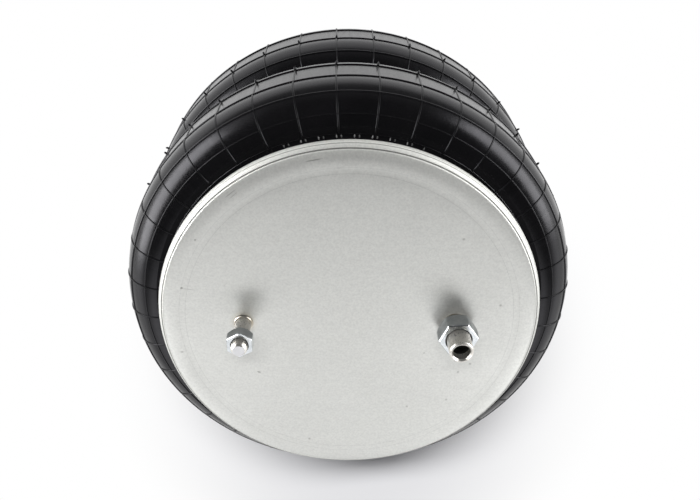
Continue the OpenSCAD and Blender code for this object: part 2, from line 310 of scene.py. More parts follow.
def zinc_sheet_finish():
    """Passivated zinc on rolled sheet: pale grey, softly glossy, finely speckled and a little scuffed, with
    painted shade along its creases.
    """
    material, tree, shader, place = new_finish("zinc_sheet")
    speck_grey = (0.30, 0.29, 0.26, 1.0)
    # Painted shade: the dark grey put along the roller's creases and the coined circle's edges
    crease_shade_grey = (0.05, 0.05, 0.047, 1.0)
    scuff_grey = (0.24, 0.23, 0.21, 1.0)
    heat_tint = (0.62, 0.55, 0.42, 1.0)
    cloud = cloudy(tree, place, 16.0, 4.0)
    grain = cloudy(tree, place, 620.0, 3.0, 0.65)
    rolled = add_node(tree, "ShaderNodeMapping", {"Vector": place, "Scale": (22.0, 520.0, 22.0),
                                                  "Rotation": (0.0, 0.0, 0.62)})
    streak = cloudy(tree, rolled.outputs["Vector"], 1.0, 2.0)
    mottle = remapped(tree, grain, (0.3, 0.7), (0.91, 1.065))
    brushed = remapped(tree, streak, (0.3, 0.7), (0.988, 1.01))
    pale = tinted(tree, cloud, (0.78, 0.785, 0.75, 1.0), (0.87, 0.875, 0.835, 1.0))
    colour = on_vectors(tree, "SCALE", {0: pale, "Scale": figured(tree, "MULTIPLY", mottle, brushed)})

    speck = add_node(tree, "ShaderNodeTexVoronoi", {"Vector": place, "Scale": 64.0, "Randomness": 1.0})
    speck_at = remapped(tree, speck.outputs["Distance"], (0.02, 0.09), (0.55, 0.0))
    lot = add_node(tree, "ShaderNodeSeparateColor", {"Color": speck.outputs["Color"]})
    rare = figured(tree, "GREATER_THAN", lot.outputs["Red"], 0.86)
    colour = tinted(tree, figured(tree, "MULTIPLY", speck_at, rare), colour, speck_grey)

    flat = on_vectors(tree, "MULTIPLY", {0: place, 1: (1.0, 1.0, 0.0)})
    radius = on_vectors(tree, "LENGTH", {0: flat}, "Value")
    coin_inset = plate_radius - coin_radius
    coin_edges = (coin_inset + coin_width / 2, coin_inset - coin_width / 2)
    # Painted shade: dark lines along the two creases of the rim and the two edges of the coined circle
    crease_shade_lines = ((0.74, 0.38 * mm), (0.62, 0.14 * mm), (0.13, 0.22 * mm), (0.10, 0.22 * mm))
    for inset, (strength, spread) in zip(crease_insets + coin_edges, crease_shade_lines):
        line_at = figured(tree, "COMPARE", radius, plate_radius - inset, spread)
        colour = tinted(tree, figured(tree, "MULTIPLY", line_at, strength), colour, crease_shade_grey)
    for x, y, long, wide, turn, strength in scuffs:
        local = add_node(tree, "ShaderNodeMapping",
                         {"Vector": place, "Location": (x * mm, y * mm, scuffed_face),
                          "Rotation": (0.0, 0.0, math.radians(turn)),
                          "Scale": (long * mm, wide * mm, scuff_height)}, vector_type="TEXTURE")
        near = on_vectors(tree, "LENGTH", {0: local.outputs["Vector"]}, "Value")
        colour = tinted(tree, remapped(tree, near, (0.5, 1.0), (strength, 0.0)), colour, scuff_grey)
    either_side = on_vectors(tree, "ABSOLUTE", {0: flat})
    to_weld = on_vectors(tree, "DISTANCE", {0: either_side, 1: (fastening_x, 0.0, 0.0)}, "Value")
    colour = tinted(tree, remapped(tree, to_weld, (7.0 * mm, 11.0 * mm), (0.30, 0.0)), colour, heat_tint)

    rim_shade = 0.96
    rim_span = (plate_radius - 6.0 * mm, plate_radius - 3.6 * mm)
    rolled_rim = remapped(tree, radius, rim_span, (1.0, rim_shade), smooth=True)
    colour = on_vectors(tree, "SCALE", {0: colour, "Scale": rolled_rim})
    worked_span = (plate_radius - 9.0 * mm, plate_radius - 5.5 * mm)
    worked = remapped(tree, radius, worked_span, (0.88, 0.80), smooth=True)
    tree.links.new(worked, shader.inputs["Metallic"])
    gloss = remapped(tree, cloud, (0.3, 0.7), (0.37, 0.44))
    duller = remapped(tree, rolled_rim, (rim_shade, 1.0), (0.18, 0.0))
    coated(tree, shader, colour, figured(tree, "ADD", gloss, duller), grain, 0.06, 0.3 * mm)
    return material


def pierced(piece, holes):
    """Cuts upright holes, given as x, y and radius, through a plate."""
    for x, y, radius in holes:
        mesh = bpy.data.meshes.new("punch")
        punch = bpy.data.objects.new("punch", mesh)
        bpy.context.scene.collection.objects.link(punch)
        work = bmesh.new()
        bmesh.ops.create_cone(work, cap_ends=True, segments=64, radius1=radius, radius2=radius, depth=1.0,
                              matrix=Matrix.Translation((x, y, 0.0)))
        work.to_mesh(mesh)
        work.free()
        cut = piece.modifiers.new("punch", "BOOLEAN")
        cut.operation = "DIFFERENCE"
        cut.solver = "EXACT"
        cut.object = punch
        evaluated = piece.evaluated_get(bpy.context.evaluated_depsgraph_get())
        result = bpy.data.meshes.new_from_object(evaluated)
        piece.modifiers.remove(cut)
        piece.data = result
        bpy.data.objects.remove(punch)
    return piece


zinc_sheet = zinc_sheet_finish()
lower_plate = turned("lower_bead_plate_rolled", [plate_section()], zinc_sheet, closed=False)
pierced(lower_plate, [(side * fastening_x, 0.0, pilot_radius + hole_play) for side in (-1, 1)])
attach(lower_plate, "lower")
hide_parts("lower_bead_plate")

# Lower blind nuts
# Closed steel barrels with a tapped hole, set into the plate from inside and welded round their flanges.
# Only the thread shows, in the mounting face, and it takes the screws that hold the actuator down.
tap_core = 5.1 * mm
tap_major = 6.0 * mm
tap_pitch = 1.75 * mm
tap_depth = 18.0 * mm
barrel_radius = 9.0 * mm
barrel_height = 24.0 * mm
flange_radius = 13.0 * mm
flange_thick = 2.5 * mm


def thread_tree():
    """Winds a ridge of the drawn section up a helix, fading in and out at its two ends."""
    tree, given = new_tree("wound_thread", {"Radius": "Float", "Pitch": "Float", "Length": "Float",
                                            "Points Per Turn": "Int", "Fade Turns": "Float",
                                            "Finish": "Material"})
    least_ridge = 0.02
    turns = figured(tree, "DIVIDE", given["Length"], given["Pitch"])
    helix = add_node(tree, "GeometryNodeCurveSpiral",
                     {"Resolution": given["Points Per Turn"], "Rotations": turns, "Height": given["Length"],
                      "Start Radius": given["Radius"], "End Radius": given["Radius"]})
    upright = add_node(tree, "GeometryNodeSetCurveNormal", {"Curve": helix.outputs["Curve"]}, mode="Z_UP")
    along = add_node(tree, "GeometryNodeSplineParameter").outputs["Factor"]
    nearer = figured(tree, "MINIMUM", along, figured(tree, "SUBTRACT", 1.0, along))
    in_turns = figured(tree, "MULTIPLY", nearer, turns)
    faded = figured(tree, "DIVIDE", in_turns, given["Fade Turns"], clamp=True)
    section = add_node(tree, "GeometryNodeMeshToCurve", {"Mesh": given["Geometry"]})
    ridge = add_node(tree, "GeometryNodeCurveToMesh",
                     {"Curve": upright.outputs["Curve"], "Profile Curve": section.outputs["Curve"],
                      "Scale": figured(tree, "MAXIMUM", faded, least_ridge), "Fill Caps": True})
    return finish_off(tree, ridge.outputs["Mesh"], given["Finish"])


winding = thread_tree()


def wound_thread(name, root, crest, pitch, low, high, at, finish, per_turn=40, land=0.18):
    """A thread ridge from the root radius to the crest radius, between two heights; it may point inwards."""
    sink = 0.12 * mm if crest > root else -0.12 * mm
    reach = crest - root + sink
    foot = 0.47 * pitch
    top = 0.5 * land * pitch
    mesh = bpy.data.meshes.new(name)
    outline = [(0.0, -foot, 0.0), (-reach, -top, 0.0), (-reach, top, 0.0), (0.0, foot, 0.0)]
    mesh.from_pydata(outline, [(0, 1), (1, 2), (2, 3), (3, 0)], [])
    ridge = grown(name, mesh, winding, {"Radius": root - sink, "Pitch": pitch, "Length": high - low,
                                        "Points Per Turn": per_turn, "Fade Turns": 0.5, "Finish": finish})
    ridge.data.transform(Matrix.Translation((at[0], at[1], low)))
    return dressed(ridge, 20.0)


def joined(name, *parts):
    """Makes one piece of several that are one thing in metal or rubber."""
    bpy.ops.object.select_all(action="DESELECT")
    for part in parts:
        part.select_set(True)
    bpy.context.view_layer.objects.active = parts[0]
    bpy.ops.object.join()
    parts[0].name = name
    return parts[0]


def plain_steel_finish(name, dark, light, roughness, grain_scale, metallic=1.0):
    """Bright, plated or painted steel, a dark steel painted as shade, or a grey painted on as a glint: two
    tones drifting into each other over a fine grain.
    """
    material, tree, shader, place = new_finish(name)
    drift = remapped(tree, cloudy(tree, place, 170.0, 3.0), (0.3, 0.7), (0.0, 1.0))
    grain = cloudy(tree, place, grain_scale, 2.0)
    gloss = remapped(tree, grain, (0.3, 0.7), (roughness * 0.85, roughness * 1.2))
    coated(tree, shader, tinted(tree, drift, (*dark, 1.0), (*light, 1.0)), gloss, grain, 0.03, 0.2 * mm)
    shader.inputs["Metallic"].default_value = metallic
    return material


def recoated(node, finish):
    """Gives a piece that keeps its plain shape its finish."""
    slots = frame["nodes"][node].data.materials
    slots.clear()
    slots.append(finish)


nut_zinc = plain_steel_finish("nut_zinc", (0.62, 0.655, 0.67), (0.79, 0.815, 0.83), 0.22, 900.0)
weld_metal = plain_steel_finish("weld_metal", (0.56, 0.50, 0.40), (0.84, 0.81, 0.74), 0.32, 700.0)

for side, hand in ((1, "right"), (-1, "left")):
    foot = (side * fastening_x, 0.0)
    barrel = [(0.0, tap_depth + tap_core * math.tan(math.radians(30.0))), (tap_core, tap_depth)]
    barrel += [(tap_major, tap_depth - 1.0 * mm), (tap_major, 0.5 * mm), (tap_major + 0.5 * mm, 0.0)]
    barrel += [(pilot_radius, 0.0), (pilot_radius, sheet), (flange_radius, sheet)]
    barrel += [(flange_radius, sheet + flange_thick), (barrel_radius, sheet + flange_thick)]
    barrel += [(barrel_radius, barrel_height - 1.5 * mm), (barrel_radius - 1.5 * mm, barrel_height)]
    barrel.append((0.0, barrel_height))
    body = turned("barrel", [barrel], nut_zinc, facets=64, closed=False, at=foot)
    thread = wound_thread("tapping", tap_major, tap_core, tap_pitch, 0.7 * mm, tap_depth - 1.2 * mm,
                          foot, nut_zinc)
    blind_nut = joined("lower_blind_nut_tapped_" + hand, body, thread)
    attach(blind_nut, "lower")
    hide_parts("lower_blind_nut_" + hand)
    recoated("lower_nut_weld_" + hand, weld_metal)

# Bead wires
# Rings of steel wire with a bronze coat, wound up and buried in the two beads of the bellows.
# They keep the beads from stretching, so that these can't pull out of the rolled rims.
bead_wire = plain_steel_finish("bead_wire", (0.50, 0.40, 0.22), (0.70, 0.58, 0.36), 0.32, 800.0)
for wire in ("lower_bead_wire", "upper_bead_wire"):
    recoated(wire, bead_wire)

# Bellows
# Two plies of cord fabric in black rubber, moulded in one as two round convolutions between three necks.
# The mould leaves fine raised lines round and across the wall, and a rubber nub at each of its vents.
rest_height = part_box("upper_bead_plate")[1].z
middle = rest_height / 2
belly_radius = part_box("bellows_cover")[1].x
wall = 7.0 * mm
neck_radius = 136.0 * mm
neck_fillet = 5.0 * mm
fillet_height = rim_depth + 2.5 * mm
shoulder_radius = 28.5 * mm
groove_radius = 7.5 * mm
waist_radius = 136.0 * mm
shoulder_ring = belly_radius - shoulder_radius
fillet_ring = neck_radius + neck_fillet
groove_ring = waist_radius + groove_radius
fillet_rise = math.sqrt((shoulder_radius + neck_fillet) ** 2 - (shoulder_ring - fillet_ring) ** 2)
groove_rise = math.sqrt((shoulder_radius + groove_radius) ** 2 - (groove_ring - shoulder_ring) ** 2)
low_shoulder = fillet_height + fillet_rise
high_shoulder = middle - groove_rise
equator = (low_shoulder + high_shoulder) / 2
fillet_turn = math.degrees(math.atan2(fillet_rise, shoulder_ring - fillet_ring))
groove_turn = math.degrees(math.atan2(groove_rise, groove_ring - shoulder_ring))
neck_end = rim_depth - sheet - 0.3 * mm

meridians = 36
meridian_phase = math.radians(-90.0 + 4.16)
meridian_size = 0.70 * mm
belt_line = 13.3 * mm
shoulder_line = 31.9 * mm
flank_line = 41.8 * mm
neck_line_turn = 264.7
neck_line_size = 0.30 * mm
vent_line = equator + belt_line
nub_size = 0.90 * mm
nub_length = 3.8 * mm
nub_sink = 0.6 * mm
nub_lean = 0.24
tick_turns = (258.0, 263.0)
tick_size = 0.6 * mm
tick_offset = 1.7 * mm
# Turns from the front, in degrees, up to which the ticks carry a painted glint and a faint painted glint
glint_turn = 15.5
faint_glint_turn = 21.0


def shoulder_width(height):
    """Radius of the outside of the wall at a height on the belt or on a shoulder."""
    drop = max(low_shoulder - height, height - high_shoulder, 0.0)
    return shoulder_ring + math.sqrt(shoulder_radius ** 2 - drop ** 2)


def wall_path(depth, step=3.0):
    """The wall at a depth below its outside, from inside the rim to the waist."""
    path = [(neck_radius - depth, neck_end)]
    path += arc((fillet_ring, fillet_height), neck_fillet + depth, 180.0, fillet_turn, step * 2)
    path += arc((shoulder_ring, low_shoulder), shoulder_radius - depth, 180.0 + fillet_turn, 360.0, step)[1:]
    belt = high_shoulder - low_shoulder
    path += [(belly_radius - depth, low_shoulder + belt * i / 6) for i in range(1, 7)]
    path += arc((shoulder_ring, high_shoulder), shoulder_radius - depth, 0.0, groove_turn, step)[1:]
    path += arc((groove_ring, middle), groove_radius + depth, 180.0 + groove_turn, 180.0, step * 2)[1:]
    return path


def above(points):
    """The same section mirrored into the upper half."""
    return [(radius, rest_height - height) for radius, height in points]


def lying_cord(path, size, sides=8, sideways=0.0):
    """A round cord of that radius, half sunk along a section path in the plane y = sideways."""
    points = []
    faces = []
    for i, (radius, height) in enumerate(path):
        before = path[max(i - 1, 0)]
        after = path[min(i + 1, len(path) - 1)]
        run = Vector((after[0] - before[0], after[1] - before[1])).normalized()
        taper = size if 0 < i < len(path) - 1 else size * 0.3
        for k in range(sides):
            turn = 2 * math.pi * k / sides
            out = taper * math.cos(turn)
            points.append((radius + run.y * out, sideways + taper * math.sin(turn), height - run.x * out))
    for i in range(len(path) - 1):
        for k in range(sides):
            after = (k + 1) % sides
            faces.append((i * sides + k, i * sides + after, (i + 1) * sides + after, (i + 1) * sides + k))
    faces.append(tuple(range(sides)))
    last = (len(path) - 1) * sides
    faces.append(tuple(last + k for k in reversed(range(sides))))
    return points, faces


def repeat_tree():
    """Sets a shape round the upright axis, leaning each copy about its own foot by a random amount."""
    tree, given = new_tree("round_the_axis", {"Count": "Int", "Phase": "Float", "Foot": "Vector",
                                              "Lean": "Float", "Seed": "Int", "Finish": "Material"})
    index = add_node(tree, "GeometryNodeInputIndex").outputs["Index"]
    share = figured(tree, "DIVIDE", 2 * math.pi, given["Count"])
    turn = figured(tree, "MULTIPLY_ADD", index, share, given["Phase"])
    facing = add_node(tree, "FunctionNodeAxisAngleToRotation", {"Axis": (0.0, 0.0, 1.0), "Angle": turn})
    stations = add_node(tree, "GeometryNodePoints", {"Count": given["Count"]})
    copies = add_node(tree, "GeometryNodeInstanceOnPoints",
                      {"Points": stations.outputs["Points"], "Instance": given["Geometry"],
                       "Rotation": facing.outputs["Rotation"]})
    other = figured(tree, "MULTIPLY", given["Lean"], -1.0)
    least = add_node(tree, "ShaderNodeCombineXYZ", {"Y": other, "Z": other})
    most = add_node(tree, "ShaderNodeCombineXYZ", {"Y": given["Lean"], "Z": given["Lean"]})
    leaning = add_node(tree, "FunctionNodeRandomValue",
                       {0: least.outputs["Vector"], 1: most.outputs["Vector"], "Seed": given["Seed"]},
                       data_type="FLOAT_VECTOR")
    as_turn = add_node(tree, "FunctionNodeEulerToRotation", {"Euler": leaning.outputs[0]})
    leant = add_node(tree, "GeometryNodeRotateInstances",
                     {"Instances": copies.outputs["Instances"], "Rotation": as_turn.outputs["Rotation"],
                      "Pivot Point": given["Foot"], "Local Space": True})
    return finish_off(tree, leant.outputs["Instances"], given["Finish"])


ring_of_copies = repeat_tree()


def round_the_axis(name, shape, count, phase, finish, foot=(0.0, 0.0, 0.0), lean=0.0, seed=0):
    """Repeats a shape, made in the plane of x and z, round the axis of the bellows."""
    mesh = bpy.data.meshes.new(name)
    mesh.from_pydata(shape[0], [], shape[1])
    piece = grown(name, mesh, ring_of_copies, {"Count": count, "Phase": phase, "Foot": foot, "Lean": lean,
                                               "Seed": seed, "Finish": finish})
    return dressed(piece, 50.0, 1e-7)


def black_rubber_finish(name, sheen, smoothest, roughest):
    """Cured black rubber: satin, a shade off neutral, with faint flow marks up and down the wall."""
    material, tree, shader, place = new_finish(name)
    parts = add_node(tree, "ShaderNodeSeparateXYZ", {"Vector": place}).outputs
    flat = add_node(tree, "ShaderNodeCombineXYZ", {"X": parts["X"], "Y": parts["Y"]}).outputs["Vector"]
    facing = on_vectors(tree, "NORMALIZE", {0: flat})
    spread = on_vectors(tree, "SCALE", {0: facing, "Scale": 34.0})
    rise = figured(tree, "MULTIPLY", parts["Z"], 26.0)
    lift = add_node(tree, "ShaderNodeCombineXYZ", {"Z": rise}).outputs["Vector"]
    flow = cloudy(tree, on_vectors(tree, "ADD", {0: spread, 1: lift}), 1.6, 4.0, 0.6)
    grain = cloudy(tree, place, 1500.0, 2.0)
    bloom = cloudy(tree, place, 30.0, 3.0)
    shade = tinted(tree, bloom, (0.0015, 0.0015, 0.0017, 1.0), (0.0032, 0.0031, 0.0035, 1.0))
    gloss = remapped(tree, flow, (0.25, 0.75), (smoothest, roughest))
    relief = figured(tree, "MULTIPLY_ADD", flow, 0.6, grain)
    coated(tree, shader, shade, gloss, relief, 0.10, 0.3 * mm)
    shader.inputs["Specular IOR Level"].default_value = sheen
    shader.inputs["Specular Tint"].default_value = (0.95, 0.94, 1.0, 1.0)
    return material


black_rubber = black_rubber_finish("black_rubber", 0.36, 0.19, 0.27)
rib_rubber = black_rubber_finish("rib_rubber", 0.26, 0.26, 0.36)
neck_rubber = black_rubber_finish("neck_rubber", 0.10, 0.40, 0.50)
neck_gloss = black_rubber_finish("neck_gloss", 1.0, 0.16, 0.22)
# Painted highlights: greys that stand in for the glints of the vent ticks
painted_tick_glint = plain_steel_finish("painted_tick_glint", (0.07, 0.07, 0.07), (0.18, 0.18, 0.18), 0.40, 900.0, 0.0)
painted_faint_glint = plain_steel_finish("painted_faint_glint", (0.02, 0.02, 0.02), (0.06, 0.06, 0.06), 0.45, 900.0, 0.0)
rubber_nodes = ("bellows_cover", "outer_fabric_ply", "inner_fabric_ply", "inner_liner")
line_heights = [(equator + sign * offset, size) for sign in (-1, 1) for offset, size in
                ((belt_line, 0.88 * mm), (shoulder_line, 0.78 * mm), (flank_line, 0.55 * mm))]
neck_line = arc((shoulder_ring, low_shoulder), shoulder_radius, neck_line_turn, neck_line_turn)[0]
outside = wall_path(0.0)
inside = wall_path(wall, 9.0)
ruled_part = [p for p in outside if p[0] > neck_line[0] - 0.2 * mm and p[1] < equator or p[1] >= equator]
ruled_part = [p for p in ruled_part if p[1] < middle - groove_radius + 1.0 * mm]
nub_foot = (shoulder_width(vent_line), vent_line)
nub_path = [(nub_foot[0] - nub_sink + nub_length * i / 4, vent_line) for i in range(5)]

for body, other, upper, seed in (("lower", "girdle", False, 3), ("girdle", "upper", True, 7)):
    name = "upper_convolution" if upper else "lower_convolution"
    place = above if upper else list
    wall_piece = turned(name, [place(outside + inside[::-1])], black_rubber, facets=360, crease=60.0)
    wall_piece.data.materials.append(neck_rubber)
    for face in wall_piece.data.polygons:
        depth = rest_height - face.center.z if upper else face.center.z
        reach = math.hypot(face.center.x, face.center.y)
        face.material_index = 1 if reach < shoulder_ring + 2.5 * mm and depth < low_shoulder else 0
    rings = [arc((shoulder_width(height), height), size, 0.0, 315.0, 45.0) for height, size in line_heights]
    neck_ring = turned("neck_ring", [place(arc(neck_line, neck_line_size, 0.0, 315.0, 45.0))], neck_gloss,
                       facets=360, crease=80.0)
    ring_lines = turned("ring_lines", [place(r) for r in rings], black_rubber, facets=360, crease=80.0)
    cross_lines = round_the_axis("cross_lines", lying_cord(place(ruled_part), meridian_size, 7), meridians,
                                 meridian_phase, rib_rubber)
    nubs = round_the_axis("vent_nubs", lying_cord(place(nub_path), nub_size), meridians, meridian_phase,
                          black_rubber, (nub_foot[0], 0.0, place([nub_foot])[0][1]), nub_lean, seed)
    tick_path = place(arc((shoulder_ring, low_shoulder), shoulder_radius, *tick_turns, 1.25))
    ticks = []
    # Painted highlight: near the front the ticks get a grey painted glint, brighter on one side of each pair;
    # further round they are plain rubber
    for sideways, glint_coat in ((-tick_offset, painted_faint_glint), (tick_offset, painted_tick_glint)):
        shape = lying_cord(tick_path, tick_size, 6, sideways)
        tick_row = round_the_axis("neck_ticks", shape, 2 * meridians, meridian_phase, glint_coat)
        tick_row.data.materials.clear()
        for coat in (glint_coat, painted_faint_glint, neck_rubber):
            tick_row.data.materials.append(coat)
        for face in tick_row.data.polygons:
            off_front = math.degrees(math.atan2(abs(face.center.x), -face.center.y))
            face.material_index = 0 if off_front < glint_turn else 1 if off_front < faint_glint_turn else 2
        ticks.append(tick_row)
    convolution = joined(name, wall_piece, ring_lines, neck_ring, cross_lines, nubs, *ticks)
    reach = 0.1 * (middle - neck_end)
    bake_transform(convolution)
    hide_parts(*rubber_nodes)

# Beads
# The thick rubber feet of the bellows, moulded in one with it round the bead wires.
# The rolled rims of the two plates clamp them, which holds the bellows and keeps the air in.
bead_low = sheet + 0.3 * mm
bead_high = rim_depth - sheet - 0.3 * mm
bead_outer = plate_radius - sheet - 0.3 * mm
bead_heel = 2.9 * mm
for body, place in (("lower", list), ("upper", above)):
    foot = [(neck_radius - wall, bead_low)]
    foot += arc((bead_outer - bead_heel, bead_low + bead_heel), bead_heel, 270.0, 360.0, 10.0)
    foot += arc((bead_outer - bead_heel, bead_high - bead_heel), bead_heel, 0.0, 90.0, 10.0)
    foot += [(neck_radius + 0.1 * mm, bead_high), (neck_radius - wall, bead_high)]
    bead = turned(body + "_bead", [place(foot)], black_rubber, facets=288)
    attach(bead, body)

# Girdle hoop
# A closed ring of round steel rod, bent, welded end to end and painted black.
# It lies in the groove between the convolutions and holds the waist in against the air.
rod_radius = 6.0 * mm
hoop_ring = waist_radius + 0.3 * mm + rod_radius
hoop_steel = plain_steel_finish("hoop_steel", (0.045, 0.045, 0.047), (0.085, 0.085, 0.09), 0.42, 600.0)
hoop = turned("girdle_hoop_rod", [arc((hoop_ring, middle), rod_radius, 0.0, 345.0, 15.0)], hoop_steel)
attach(hoop, "girdle")
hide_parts("girdle_hoop")

# Upper bead plate
# The same zinc plated pressing the other way up, its edge rolled in over the upper bead.
# Two holes take the studs, where the lower plate has those of the pilots.
blind_radius = 6.0 * mm
air_radius = 9.0 * mm
upper_plate = turned("upper_bead_plate_rolled", [above(plate_section())], zinc_sheet, closed=False)
pierced(upper_plate, [(fastening_x, 0.0, blind_radius + hole_play),
                      (-fastening_x, 0.0, air_radius + hole_play)])
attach(upper_plate, "upper")
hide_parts("upper_bead_plate")

# Blind stud
# A solid steel stud with a rolled thread, nickel plated, with a flat head below the plate.
# It is pushed up through its hole, welded round its root, and fastens the actuator.
stud_height = 35.0 * mm
head_thick = 3.0 * mm
head_rim = 5.0 * mm
thread_start = 1.7 * mm
stud_land = 0.62
blind_pitch = 1.75 * mm
blind_core = 5.7 * mm
blind_tip = 4.3 * mm
blind_foot = (fastening_x, 0.0)
stud_steel = plain_steel_finish("stud_steel", (0.80, 0.77, 0.71), (0.92, 0.90, 0.85), 0.30, 1100.0, 0.95)
sawn_steel = plain_steel_finish("sawn_steel", (0.84, 0.84, 0.85), (0.92, 0.92, 0.93), 0.42, 1100.0, 0.9)


def on_face(points):
    """Section heights given from the upper mounting face."""
    return [(radius, rest_height + height) for radius, height in points]


def stud_root(bore, radius, core):
    """The foot of a stud: its head below the plate, its plain neck and the start of its thread."""
    head = [(bore, -sheet - head_thick), (radius + head_rim, -sheet - head_thick)]
    return head + [(radius + head_rim, -sheet), (radius, -sheet), (radius, 1.2 * mm), (core, 2.0 * mm)]


def weld_ring(name, radius, foot):
    """A low hollow fillet of weld metal round the root of a stud."""
    ring = [(radius + hole_play, 0.0), (radius + 1.35 * mm, 0.0), (radius + 1.3 * mm, 0.22 * mm)]
    ring += [(radius + 0.95 * mm, 0.42 * mm), (radius + 0.6 * mm, 0.75 * mm)]
    ring += [(radius + 0.35 * mm, 1.15 * mm), (radius + 0.2 * mm, 1.6 * mm), (radius + hole_play, 1.65 * mm)]
    return turned(name, [on_face(ring)], weld_metal, facets=72, at=foot, crease=40.0)


shank = stud_root(0.0, blind_radius, blind_core)
shank += [(blind_core, stud_height - 2.7 * mm), (blind_radius - 0.15 * mm, stud_height - 2.4 * mm)]
shank += [(blind_tip + 0.1 * mm, stud_height - 0.15 * mm), (blind_tip, stud_height - 0.1 * mm)]
shank.append((0.0, stud_height - 0.1 * mm))
blind_body = turned("shank", [on_face(shank)], stud_steel, facets=64, closed=False, at=blind_foot)
cut_low = stud_height - 0.12 * mm
cut_end = [(0.0, cut_low), (blind_tip, cut_low), (blind_tip - 0.05 * mm, stud_height), (0.0, stud_height)]
blind_end = turned("end_face", [on_face(cut_end)], sawn_steel, facets=64, closed=False, at=blind_foot)
blind_thread = wound_thread("thread", blind_core, blind_radius, blind_pitch, rest_height + thread_start,
                            rest_height + stud_height - 2.6 * mm, blind_foot, stud_steel, 48, stud_land)
blind_stud = joined("blind_stud_threaded", blind_body, blind_thread, blind_end)
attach(blind_stud, "upper")
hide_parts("blind_stud")
blind_weld = weld_ring("blind_stud_weld_ring", blind_radius, blind_foot)
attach(blind_weld, "upper")
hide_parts("blind_stud_weld")

# Blind stud nut
# A steel hexagon nut, forged, tapped and chamfered, then zinc plated.
# It is run part of the way down the blind stud.
nut_play = 0.1 * mm
blind_nut_across = 18.5 * mm
# Painted shade: a dark steel put where shade falls, on the nuts' bearing faces, mouths and bores and inside
# the air port
painted_shade_steel = plain_steel_finish("painted_shade_steel", (0.07, 0.07, 0.07), (0.14, 0.14, 0.14), 0.55, 900.0)


def spoke(turn, length):
    """A point at a turn in degrees and a distance from the middle of a nut."""
    return Vector((math.cos(math.radians(turn)), math.sin(math.radians(turn)))) * length


def hexagon_nut(name, across, height, low, bore, foot, turned_by, shaded_rows):
    """A hexagon nut: conical chamfer below, straight bevel above, eased corners and countersunk mouths; its
    lowest rows, mouths and bore are painted dark as shade.
    """
    flat = across / 2
    ease = 0.035 * across
    inset = (flat - ease) / math.cos(math.radians(30.0))
    outline = []
    for corner in range(0, 360, 60):
        outline += [spoke(corner, inset) + spoke(corner + 10.0 * j, ease) for j in range(-3, 4)]
        start = outline[-1]
        finish = spoke(corner + 60.0, inset) + spoke(corner + 30.0, ease)
        outline += [start.lerp(finish, i / 8) for i in range(1, 8)]
    face_radius = 0.96 * flat
    bevel = 0.058
    steep = math.tan(math.radians(50.0))
    mouth = 0.10 * bore
    rounding = 0.25 * mm
    brow = height - bevel * flat * steep
    points = []
    for p in outline:
        away = p.length
        drop = (away - face_radius) * steep
        way = p / away
        ring = [(bore + mouth, 0.0), (face_radius, 0.0), (away - rounding, drop - rounding * steep)]
        ring += [(away, drop + rounding), (away, brow - rounding), (away - rounding, brow + rounding * steep)]
        ring += [(away * (1 - bevel), height), (bore + mouth, height), (bore, height - mouth), (bore, mouth)]
        for radius, level in ring:
            points.append((way.x * radius, way.y * radius, low + level))
    rows = len(ring)
    faces = []
    count = len(outline)
    for i in range(count):
        for k in range(rows):
            j = (i + 1) % count
            after = (k + 1) % rows
            faces.append((i * rows + k, j * rows + k, j * rows + after, i * rows + after))
    mesh = bpy.data.meshes.new(name)
    mesh.from_pydata(points, [], faces)
    mesh.materials.append(nut_zinc)
    mesh.materials.append(painted_shade_steel)
    # The lowest rows given, the mouths and the bore are painted dark as shade; the rest is plated zinc
    mouth_row = 7
    unshaded_rows = range(shaded_rows, mouth_row)
    for face in mesh.polygons:
        face.material_index = 0 if face.index % rows in unshaded_rows else 1
    placed = Matrix.Translation((foot[0], foot[1], 0.0)) @ Matrix.Rotation(math.radians(turned_by), 4, "Z")
    mesh.transform(placed)
    piece = bpy.data.objects.new(name, mesh)
    bpy.context.scene.collection.objects.link(piece)
    return dressed(piece, 24.0)


blind_nut_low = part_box("blind_stud_nut")[0].z
blind_nut_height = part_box("blind_stud_nut")[1].z - blind_nut_low
blind_nut = hexagon_nut("blind_stud_nut_chamfered", blind_nut_across, blind_nut_height, blind_nut_low,
                        blind_radius + nut_play, blind_foot, 30.0, 1)
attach(blind_nut, "blind_nut")
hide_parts("blind_stud_nut")

# Air stud
# A hollow steel stud, nickel plated, with a thread for its nut outside and a tapped port in its end.
# It is welded in as the blind stud is, fastens the actuator and lets the air in and out.
air_pitch = 1.5 * mm
air_core = 8.66 * mm
air_crest = 8.85 * mm
air_mouth = 8.45 * mm
lip_round = 0.7 * mm
port_mouth = 7.15 * mm
port_throat = 6.2 * mm
port_crest = 5.6 * mm
port_radius = 6.5 * mm
port_depth = 14.0 * mm
port_pitch = 1.337 * mm
passage_radius = 4.0 * mm
air_foot = (-fastening_x, 0.0)
stud_tip = rest_height + stud_height
cone_depth = (port_radius - passage_radius) * math.tan(math.radians(30.0))
sleeve = stud_root(passage_radius, air_radius, air_core)
sleeve += [(air_core, stud_height - 1.6 * mm), (air_mouth, stud_height - 1.3 * mm)]
sleeve += arc((air_mouth - lip_round, stud_height - lip_round), lip_round, 0.0, 90.0, 15.0)
sleeve += [(port_mouth + 0.1 * mm, stud_height), (port_mouth, stud_height - 0.1 * mm)]
sleeve += [(port_throat, stud_height - 1.3 * mm), (port_radius, stud_height - 8.0 * mm)]
sleeve.append((port_radius, stud_height - port_depth))
sleeve.append((passage_radius, stud_height - port_depth - cone_depth))
air_body = turned("sleeve", [on_face(sleeve)], stud_steel, facets=96, at=air_foot)
